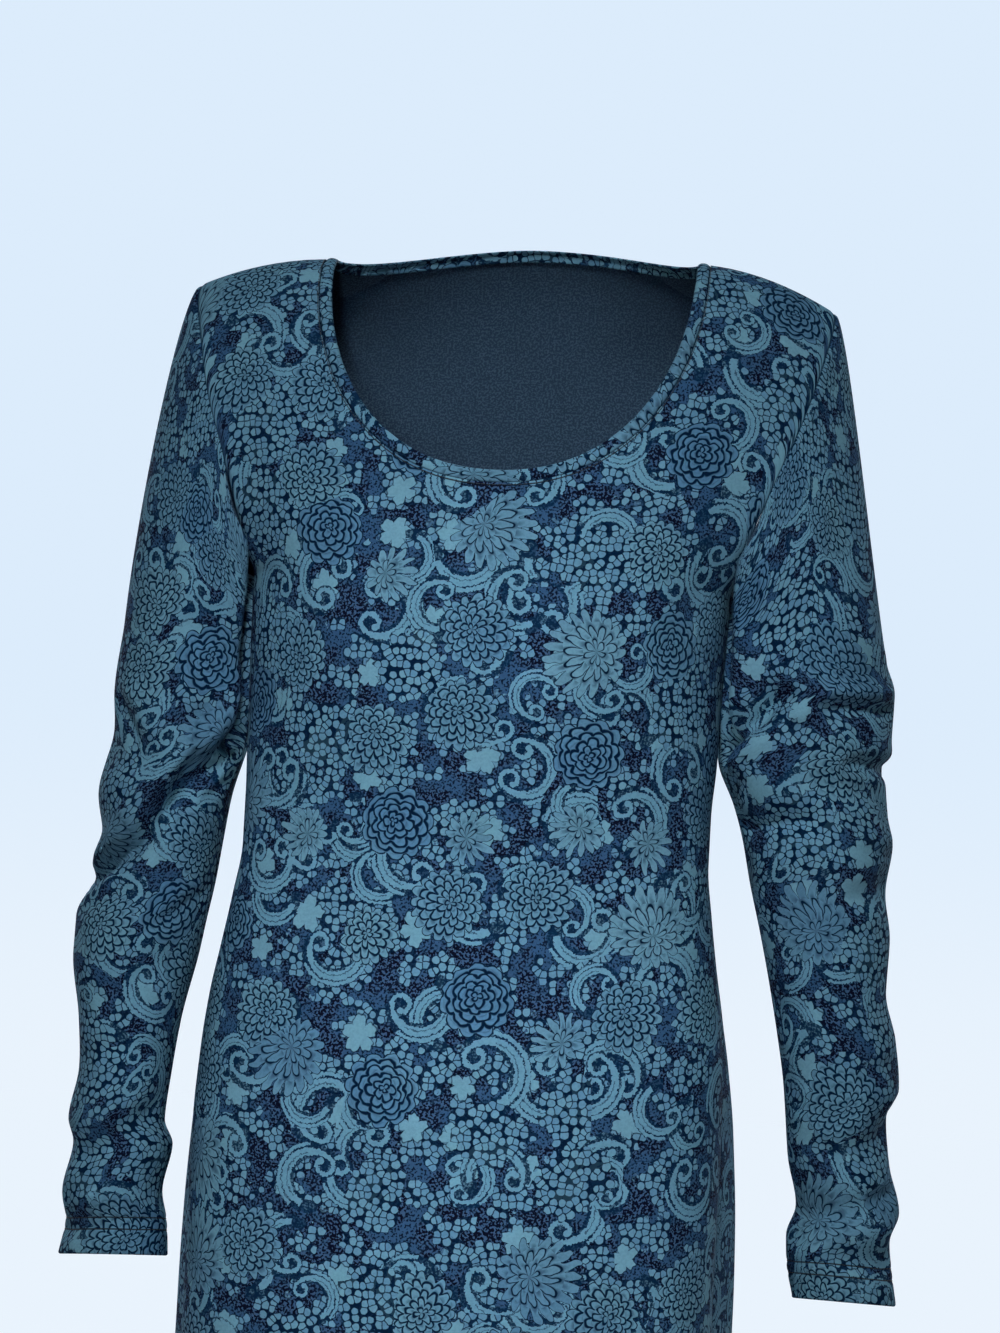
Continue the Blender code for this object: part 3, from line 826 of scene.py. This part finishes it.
class Field:
    """A socket of a material, or a number, whose arithmetic adds Math nodes."""

    tree = None

    def __init__(self, socket):
        self.socket = socket

    def math(self, operation, *others):
        return node("ShaderNodeMath", {"operation": operation}, [self, *others])

    __add__ = __radd__ = sign("ADD")
    __mul__ = __rmul__ = sign("MULTIPLY")
    __sub__, __rsub__ = sign("SUBTRACT"), sign("SUBTRACT", swapped=True)
    __truediv__, __pow__ = sign("DIVIDE"), sign("POWER")
    __lt__, __gt__ = sign("LESS_THAN"), sign("GREATER_THAN")
    most = sign("MAXIMUM")

    def kept(self):
        """Limited to the range 0 to 1."""
        return node("ShaderNodeClamp", {}, [self])

    def rise(self, low, high):
        """A soft step from 0 at low to 1 at high."""
        settings = {"interpolation_type": "SMOOTHSTEP"}
        values = {"Value": self, "From Min": low, "From Max": high}
        return node("ShaderNodeMapRange", settings, values, "Result")

    def toward(self, other, share):
        """Mixed with another value."""
        return self + (other - self) * share


def node(kind, settings, values, output=0):
    """A node of the tree in hand: its settings first, then its sockets' values or links."""
    made = Field.tree.nodes.new(kind)
    for name, value in settings.items():
        setattr(made, name, value)
    pairs = values.items() if isinstance(values, dict) else enumerate(values)
    for key, value in pairs:
        socket = made.inputs[key]
        if isinstance(value, Field):
            Field.tree.links.new(value.socket, socket)
        else:
            socket.default_value = value
    return Field(made.outputs[output])


def parts(whole):
    """The three numbers of a vector or colour."""
    first = node("ShaderNodeSeparateXYZ", {}, [whole])
    return [Field(first.socket.node.outputs[k]) for k in range(3)]


def vector(x, y, z=0.0):
    """A vector from three values."""
    return node("ShaderNodeCombineXYZ", {}, [x, y, z])


def mix(share, first, second):
    """A colour between two colours."""
    settings = {"data_type": "RGBA", "clamp_factor": True}
    return node("ShaderNodeMix", settings, {0: share, 6: first, 7: second}, 2)


def voronoi(x, y, size, scatter, seed, output, **settings):
    """A place in units of the cells' size, elsewhere for every seed, and the cells' value there."""
    at = vector(x / size + seed * SEED_SHIFT[0], y / size + seed * SEED_SHIFT[1])
    values = {"Vector": at, "Scale": 1.0, "Randomness": scatter}
    settings["voronoi_dimensions"] = "2D"
    return at, node("ShaderNodeTexVoronoi", settings, values, output)


def cells(x, y, size, scatter, seed):
    """Scattered places: millimetres from the nearest one, and three random values for it."""
    at, found = voronoi(x, y, size, scatter, seed, "Position")
    luck = parts(Field(found.socket.node.outputs["Color"]))
    off = node("ShaderNodeVectorMath", {"operation": "SUBTRACT"}, [at, found])
    dx, dy, _ = parts(off)
    return dx * size, dy * size, luck


def cell_edge(x, y, size, scatter, seed):
    """Distance in millimetres from the border between two of those scattered places."""
    return voronoi(x, y, size, scatter, seed, "Distance", feature="DISTANCE_TO_EDGE")[1] * size


def turned(x, y, angle):
    """A place turned by an angle in radians."""
    c, s = angle.math("COSINE"), angle.math("SINE")
    return x * c - y * s, x * s + y * c


def away(x, y):
    """Distance of a place from its centre."""
    return (x * x + y * y).math("SQRT")


def noise(x, y, size, detail=2.0, seed=0.0, output=0):
    """Soft noise around 0.5 over spots of a size in millimetres."""
    at = vector(x / size, y / size, seed)
    values = {"Vector": at, "Scale": 1.0, "Detail": detail, "Roughness": 0.55}
    return node("ShaderNodeTexNoise", {"noise_dimensions": "3D"}, values, output)


def drawn_by_hand(x, y, size, amount, seed):
    """The same place moved a little, so that lines waver."""
    red, green, _ = parts(noise(x, y, size, 1.0, seed, 1))
    return x + (red - 0.5) * amount, y + (green - 0.5) * amount


def srgb(*screen):
    """A colour given in the eight-bit values of a screen, as a linear one."""
    linear = []
    for c in screen:
        linear.append(((c / 255 + 0.055) / 1.055) ** 2.4 if c > 10 else c / 255 / 12.92)
    return (*linear, 1.0)


# Numbers of the print
FULL_TURN = 6.283
PER_TURN = 0.15915
PER_METRE = 1000.0
SEED_SHIFT = (17.3, 9.1)

# Colours of the print
LEAF = srgb(107, 155, 177)
PETAL = srgb(101, 147, 170)
SCROLL = srgb(99, 147, 172)
BLUE_PETAL = srgb(80, 124, 157)
OUTLINE = srgb(0, 25, 50)
GROUND = srgb(9, 11, 30)
GROUND_DOT = srgb(54, 84, 118)
BLUE_PATCH = srgb(46, 81, 117)
SHADOW = srgb(6, 36, 64)
WRONG_SIDE = srgb(40, 58, 78)
WRONG_SIDE_DOT = srgb(66, 92, 114)
THREAD_NAVY = srgb(4, 13, 26)

# Look of the knit: width in millimetres of the painted shade along seams and of the navy lines
# along rows (thread colour and painted shade), gloss, relief in metres
SEAM_PAINTED_SHADE = (0.1, 1.2)
ROW_THREAD_AND_PAINTED_SHADE = (0.25, 0.7)
KNIT_SPECULAR = 0.02
BUMP_DEPTH = 0.0006
THREAD_ROUGHNESS = 0.7


def blossoms(x, y):
    """Small round blossoms packed close: their shape, tone and offset from the centre."""
    dx, dy, (tone, size, _) = cells(x, y, 4.7, 0.8, 2.0)
    gap = cell_edge(x, y, 4.7, 0.8, 2.0)
    shape = gap.rise(0.1, 0.52) * (1.0 - (away(dx, dy) - 0.7 * size).rise(1.75, 2.2))
    return shape, tone, dx, dy


def flowers(x, y, blossom_x, blossom_y):
    """Large scattered flowers: pompons, long-petalled ones, roses and balls of blossoms."""
    x, y = drawn_by_hand(x, y, 8.0, 4.2, 6.6)
    dx, dy, (kind, size, turn) = cells(x, y, 54.0, 0.74, 1.0)
    long_petals = (kind > 0.48) * (kind < 0.66)
    rose = (kind > 0.66) * (kind < 0.8)
    full = 22.0 + 5.5 * size + long_petals * 3.0
    ball = (kind > 0.8) * (away(dx - blossom_x, dy - blossom_y) < full - 3.0)
    dx, dy = turned(dx, dy, turn * FULL_TURN)
    dx = dx + (4.0 + long_petals * 6.0 - rose * 1.0) * (1.0 - away(dx, dy) / full).kept()
    ring = 4.5 + long_petals * 4.6 - rose * 0.7
    reach = away(dx, dy) / ring
    k = reach.math("FLOOR")
    more = (3.4 + long_petals * 2.2 - rose * 1.8) * k
    petals = (4.3 + long_petals * 3.0 - rose * 1.0 + more).math("ROUND")
    sector = dy.math("ARCTAN2", dx) * petals * PER_TURN + 0.5 * k + size * 3.0
    spot = vector(sector.math("FLOOR"), k + turn * 90.0)
    one = node("ShaderNodeTexWhiteNoise", {"noise_dimensions": "2D"}, {"Vector": spot})
    across = (2.0 * sector.math("FRACT") - 1.0).math("ABSOLUTE")
    length = 0.76 + 0.24 * one - rose * 0.1
    past = reach - k - length * (1.0 - across ** (2.8 - long_petals * 0.5))
    width = 0.62 + 1.3 * across * across
    line = 1.0 - (past.math("ABSOLUTE") * ring / width).rise(0.5, 1.25)
    inside = (k + (past > 0.0) < (full / ring).math("FLOOR")) * (kind > 0.1) * (kind < 0.8)
    shade = 0.4 + 0.6 * past.math("FRACT").rise(0.0, 0.5)
    light = shade * (0.84 + 0.16 * one) * (0.86 + 0.14 * away(dx, dy).rise(1.0, 10.0))
    blueness = rose * 0.6 + (size > 0.66) * 0.3
    return inside, ball, light.kept(), line.kept(), blueness


def leaves(x, y):
    """Solid lobed leaves beside the flowers: their shape and outline."""
    x, y = drawn_by_hand(x, y, 5.0, 2.6, 9.3)
    dx, dy, (there, size, turn) = cells(x, y, 34.0, 0.85, 3.0)
    dx, dy = turned(dx, dy, turn * FULL_TURN)
    angle = dy.math("ARCTAN2", dx)
    lobes = (angle * 2.5).math("COSINE").math("ABSOLUTE")
    reach = (8.0 + 3.5 * size) * (0.5 + 0.5 * lobes**0.55 + (angle * 14.0).math("SINE") * 0.05)
    past = away(dx, dy * 1.12) - reach
    stand = there < 0.45
    return (1.0 - past.rise(-0.4, 0.4)) * stand, (1.0 - past.rise(0.4, 1.3)) * stand


def scrolls(x, y, seed):
    """Feathered crescents with curled ends and an outer line: bands, dark core, shadow."""
    x, y = drawn_by_hand(x, y, 3.0, 1.7, 4.4 + seed)
    dx, dy, (there, both, turn) = cells(x, y, 56.0, 0.72, seed)
    dx, dy = turned(dx, dy, turn * FULL_TURN)
    scale = 0.8 + 0.5 * (there * 7.0).math("FRACT")
    dx, dy = dx / scale, dy / scale
    twin = both > 0.66
    side = (dx * (1.0 - 2.0 * (there > 0.5))).toward(dx.math("ABSOLUTE"), twin)
    low = dy + 4.0
    angle = side.math("ARCTAN2", -1.0 * low)
    along = angle.math("ABSOLUTE")
    feather = (noise(x, y, 1.4, 1.0, 2.2) - 0.5) * 2.3
    past = away(side, low) - 14.5 + feather
    taper = 1.0 - (along * along / 4.6).kept()
    main = (past.math("ABSOLUTE") < 0.75 + 1.7 * taper) * (angle < 2.05) * (angle > -1.5)
    core = ((past + 0.5).math("ABSOLUTE") < 0.3) * (along < 1.1)
    outer = ((past - 4.2).math("ABSOLUTE") < 1.15 * taper) * (along < 1.2)
    curl_x, curl_y = side - 8.87, low - 4.61
    curl = away(curl_x, curl_y)
    curl_turn = curl_y.math("ARCTAN2", curl_x)
    curl_open = (curl_turn > -1.1) * (curl_turn < 0.3)
    ring = ((curl - 4.5 + feather).math("ABSOLUTE") < 1.15) * (1.0 - curl_open)
    blob = away(curl_x - 1.7, curl_y + 3.0) < 1.7
    shape = main.most(outer).most(ring).most(blob)
    near = ((past - 0.8).math("ABSOLUTE") < 2.6 + 2.6 * taper) * (along < 2.05)
    stand = there > 0.12
    return shape * stand, core * main, near.most(curl < 6.6) * stand


def print_colour(x, y):
    """Colour of the printed side at a place of the cut, in millimetres."""
    spread = noise(x, y, 20.0, 2.0, 0.7)
    grain = noise(x, y, 1.45, 1.0, 5.2)
    blue = spread.rise(0.45, 0.6)
    ground = mix(grain.rise(0.51, 0.55), GROUND, GROUND_DOT)
    ground = mix(blue * (0.1 + 0.9 * grain.rise(0.42, 0.46)), ground, BLUE_PATCH)
    blossom, tone, blossom_x, blossom_y = blossoms(*drawn_by_hand(x, y, 2.4, 1.2, 1.9))
    ball_tone = mix(0.3 + 0.7 * tone, BLUE_PETAL, PETAL)
    tuft = noise(x - blossom_x, y - blossom_y, 17.0, 1.0, 3.1).rise(0.495, 0.5)
    colour = mix(tuft * 0.85, ground, OUTLINE)
    colour = mix(tuft * blossom, colour, ball_tone)
    leaf, rim = leaves(x, y)
    colour = mix(rim * 0.8, colour, OUTLINE)
    colour = mix(leaf, colour, LEAF)
    for seed in (5.0, 13.0):
        band, core, near = scrolls(x, y, seed)
        colour = mix(near * (0.6 + 0.35 * grain.rise(0.58, 0.5)), colour, SHADOW)
        colour = mix(band, colour, SCROLL)
        colour = mix(core * 0.7, colour, SHADOW)
    inside, ball, light, line, blueness = flowers(x, y, blossom_x, blossom_y)
    colour = mix(ball * 0.9, colour, OUTLINE)
    colour = mix(ball * blossom, colour, ball_tone)
    face = mix(blueness + noise(x, y, 70.0, 0.0, 8.8).rise(0.48, 0.64) * 0.4, PETAL, BLUE_PETAL)
    face = mix(light, SHADOW, face)
    face = mix(line, face, OUTLINE)
    colour = mix(inside, colour, face)
    heather = noise(x, y, 1.6, 2.0, 7.7).rise(0.35, 0.7)
    return mix(0.03 + 0.15 * heather, colour, SHADOW)


def new_material(name):
    """A material, whose nodes are now in hand, and its shader."""
    material = bpy.data.materials.new(name)
    material.use_nodes = True
    Field.tree = material.node_tree
    return material, Field.tree.nodes["Principled BSDF"]


def knit_material(name, printed):
    """The knit's printed face, or its muted wrong side."""
    material, shader = new_material(name)
    x, y, _ = parts(node("ShaderNodeUVMap", {"uv_map": "cut"}, {}))
    x, y = x * PER_METRE, y * PER_METRE
    seam, first_row, second_row = (
        node("ShaderNodeAttribute", {"attribute_name": mark}, {}, "Fac") for mark in MARKS
    )
    weave = noise(x, y, 0.8, 1.0, 1.0)
    pile = noise(x, y, 9.0, 2.0, 2.0)
    if printed:
        # Painted shade along each seam's crease, in the print's navy outline colour
        colour = mix((1.0 - seam.rise(*SEAM_PAINTED_SHADE)) * 0.8, print_colour(x, y), OUTLINE)
        # Navy lines along the sewn rows: partly the thread's colour, partly painted shade in the
        # sunk rows
        for row in (first_row, second_row):
            line = 1.0 - row.math("ABSOLUTE").rise(*ROW_THREAD_AND_PAINTED_SHADE)
            colour = mix(line * 0.9, colour, THREAD_NAVY)
    else:
        speckle = noise(x, y, 1.3, 1.0, 4.0).rise(0.48, 0.56)
        colour = mix(speckle * (0.3 + 0.5 * pile), WRONG_SIDE, WRONG_SIDE_DOT)
    rough = 0.86 + 0.1 * (weave - 0.5)
    relief = {"Strength": 0.3, "Distance": BUMP_DEPTH, "Height": weave + 0.6 * pile}
    bump = node("ShaderNodeBump", {}, relief)
    for socket, value in {"Base Color": colour, "Roughness": rough, "Normal": bump}.items():
        Field.tree.links.new(value.socket, shader.inputs[socket])
    shader.inputs["Specular IOR Level"].default_value = KNIT_SPECULAR
    return material


def plain_material(name, colour, roughness):
    """A plain material with a little unevenness in its colour."""
    material, shader = new_material(name)
    x, y, z = parts(node("ShaderNodeTexCoord", {}, {}, "Object"))
    spots = noise(x * PER_METRE, y * PER_METRE + z * 700.0, 2.0, 1.0)
    darker = tuple(0.7 * c for c in colour[:3]) + (1.0,)
    Field.tree.links.new(mix(spots, darker, colour).socket, shader.inputs["Base Color"])
    shader.inputs["Roughness"].default_value = roughness
    return material


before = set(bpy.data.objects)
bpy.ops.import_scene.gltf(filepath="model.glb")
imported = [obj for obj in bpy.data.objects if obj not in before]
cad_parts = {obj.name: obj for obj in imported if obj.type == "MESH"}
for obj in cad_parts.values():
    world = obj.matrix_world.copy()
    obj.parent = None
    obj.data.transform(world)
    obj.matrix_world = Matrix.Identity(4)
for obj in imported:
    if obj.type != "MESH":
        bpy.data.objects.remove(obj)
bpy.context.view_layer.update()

printed_face = knit_material("floral_knit_face", printed=True)
wrong_side = knit_material("floral_knit_wrong_side", printed=False)
both_sides = [printed_face, wrong_side]
thread = plain_material("navy_thread", THREAD_NAVY, THREAD_ROUGHNESS)
tree = stitch_tree()

front_cloth, front_rows = panel(-1)
back_cloth, back_rows = panel(1)
right_cloth, right_rows = sleeve(
    -1, RIGHT_ARM, RIGHT_FOLDS, cap_pull=36.0, cap_slope=0.06, outer_drop=0.044
)
left_cloth, left_rows = sleeve(
    1, LEFT_ARM, LEFT_FOLDS, cap_pull=25.0, cap_slope=0.2, outer_drop=0.02
)

# Each piece is cut from another place of the print
front = cloth_object("front_cloth", front_cloth, (0.0, 0.0), both_sides)
back = cloth_object("back_cloth", back_cloth, (770.0, 40.0), both_sides)
right_sleeve = cloth_object("right_sleeve_cloth", right_cloth, (1510.0, 130.0), both_sides)
left_sleeve = cloth_object("left_sleeve_cloth", left_cloth, (2040.0, 70.0), both_sides)
band = cloth_object("neckband_cloth", neckband(), (2700.0, 900.0), both_sides, closed=True)

# Each piece with its node, and its flat cut's width, length and area in metres and square
# metres, turned edges included
for piece, name, width, length, area, held in [
    (front, "front", 0.481, 1.223, 0.487, "hung"),
    (back, "back", 0.545, 1.233, 0.560, "hung"),
    (right_sleeve, "right_sleeve", 0.290, 0.644, 0.140, "hung"),
    (left_sleeve, "left_sleeve", 0.310, 0.643, 0.146, "hung"),
    (band, "neckband", 0.766, 0.019, 0.0143, "folded"),
]:
    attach(piece, "root")
    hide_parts(name)

for piece in [
    stitching("neck_stitching", [front_rows[0], back_rows[0]], tree, thread),
    stitching("hem_stitching", front_rows[1:] + back_rows[1:], tree, thread),
    stitching("right_cuff_stitching", right_rows, tree, thread),
    stitching("left_cuff_stitching", left_rows, tree, thread),
]:
    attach(piece, "root")

# Camera at the photograph's place: 1.8 m in front, a little to the wearer's left, rolled 3 degrees.
# The picture is 1333 pixels high, at 1.62 pixels to a millimetre.
AIM = (1.9, 0.0, -253.6)
DISTANCE = 1800.0
AZIMUTH = math.radians(3.5)
ROLL = math.radians(3.0)
VIEW_HEIGHT = 1333 / 1.62
SENSOR = 24.0

camera_data = bpy.data.cameras.new("camera")
camera_data.sensor_fit = "VERTICAL"
camera_data.sensor_height = SENSOR
camera_data.lens = SENSOR * DISTANCE / VIEW_HEIGHT
camera = add_object("camera", camera_data)
stand = [
    AIM[0] + DISTANCE * math.sin(AZIMUTH),
    AIM[1] - DISTANCE * math.cos(AZIMUTH),
    AIM[2],
]
facing = Matrix.Rotation(AZIMUTH, 4, "Z") @ Matrix.Rotation(math.pi / 2, 4, "X")
facing = facing @ Matrix.Rotation(ROLL, 4, "Z")
camera.matrix_world = Matrix.Translation([c * MM for c in stand]) @ facing
bpy.context.scene.camera = camera


def area_light(name, place, target, size, spread, power, colour):
    """A soft light, as wide and high as given, that faces a target; metres, degrees and watts."""
    data = bpy.data.lights.new(name, "AREA")
    data.shape = "RECTANGLE"
    data.size, data.size_y = size
    data.spread = math.radians(spread)
    data.energy = power
    data.color = colour
    light = add_object(name, data)
    light.visible_camera = False
    way = (Vector(target) - Vector(place)).to_track_quat("-Z", "Y")
    light.matrix_world = Matrix.Translation(place) @ way.to_matrix().to_4x4()


def stage_piece(name, points, faces):
    """A floor or backdrop in pale paint, bright of itself. It throws no light on the cloth."""
    material, shader = new_material(name)
    height = parts(node("ShaderNodeTexCoord", {}, {}, "Object"))[2]
    paint = mix(height.rise(FLOOR_HEIGHT, BACKDROP_FADE), PALE_FLOOR, PALE_BACKDROP)
    Field.tree.links.new(paint.socket, shader.inputs["Emission Color"])
    shader.inputs["Emission Strength"].default_value = STAGE_GLOW
    shader.inputs["Base Color"].default_value = STAGE_PAINT
    shader.inputs["Roughness"].default_value = 0.9
    shader.inputs["Specular IOR Level"].default_value = 0.0
    mesh = bpy.data.meshes.new(name)
    mesh.from_pydata(points, [], faces)
    mesh.materials.append(material)
    piece = add_object(name, mesh)
    piece.visible_diffuse = False
    return piece


# Stage, in metres: a round floor under a pale dome that closes the view from every side
FLOOR_HEIGHT = -1.43
DOME_RADIUS = 6.0
BACKDROP_FADE = -0.2
PALE_FLOOR = srgb(232, 242, 252)
PALE_BACKDROP = srgb(219, 235, 251)
STAGE_PAINT = (0.12, 0.12, 0.12, 1.0)
STAGE_GLOW = 1.0
SKY_COLOUR = (0.9, 0.95, 1.0, 1.0)
SKY_STRENGTH = 0.06
ROUND = 64
RISE = 12

dome_points, dome_faces = [], []
for up in range(RISE):
    lift = up * math.pi / 2 / RISE
    radius, height = DOME_RADIUS * math.cos(lift), FLOOR_HEIGHT + DOME_RADIUS * math.sin(lift)
    for k in range(ROUND):
        around = k * 2 * math.pi / ROUND
        dome_points.append((radius * math.cos(around), radius * math.sin(around), height))
        low, beside = up * ROUND + k, up * ROUND + (k + 1) % ROUND
        if up < RISE - 1:
            dome_faces.append((low, beside, beside + ROUND, low + ROUND))
        else:
            dome_faces.append((low, beside, RISE * ROUND))
dome_points.append((0.0, 0.0, FLOOR_HEIGHT + DOME_RADIUS))
stage_piece("floor", dome_points[:ROUND], [tuple(range(ROUND))])
dome = stage_piece("backdrop", dome_points, dome_faces)
dome.visible_shadow = False

# Lights: name, place, target, size, spread, power and colour
WHITE = (1.0, 1.0, 1.0)
COOL = (0.98, 0.99, 1.0)
WARM = (1.0, 1.0, 0.99)
SKIRT = (0.0, 0.0, -0.5)
area_light("overhead", (0.0, -2.5, 1.7), (0.0, -0.1, -0.45), (0.5, 0.5), 46, 4.0, WARM)
area_light("front_softbox", (0.0, -2.3, -0.47), (0.0, 0.0, -0.47), (0.12, 0.8), 17, 0.5, COOL)
area_light("back_softbox", (0.0, 2.8, 0.6), SKIRT, (0.6, 1.2), 46, 3.6, WHITE)
for side_x in (-1, 1):
    area_light("side_softbox", (side_x * 1.9, 2.2, 0.0), SKIRT, (0.6, 1.2), 46, 1.5, WHITE)

world = bpy.data.worlds.new("studio")
world.use_nodes = True
sky = world.node_tree.nodes["Background"].inputs
sky["Color"].default_value = SKY_COLOUR
sky["Strength"].default_value = SKY_STRENGTH
bpy.context.scene.world = world
bpy.context.scene.view_settings.view_transform = "Standard"
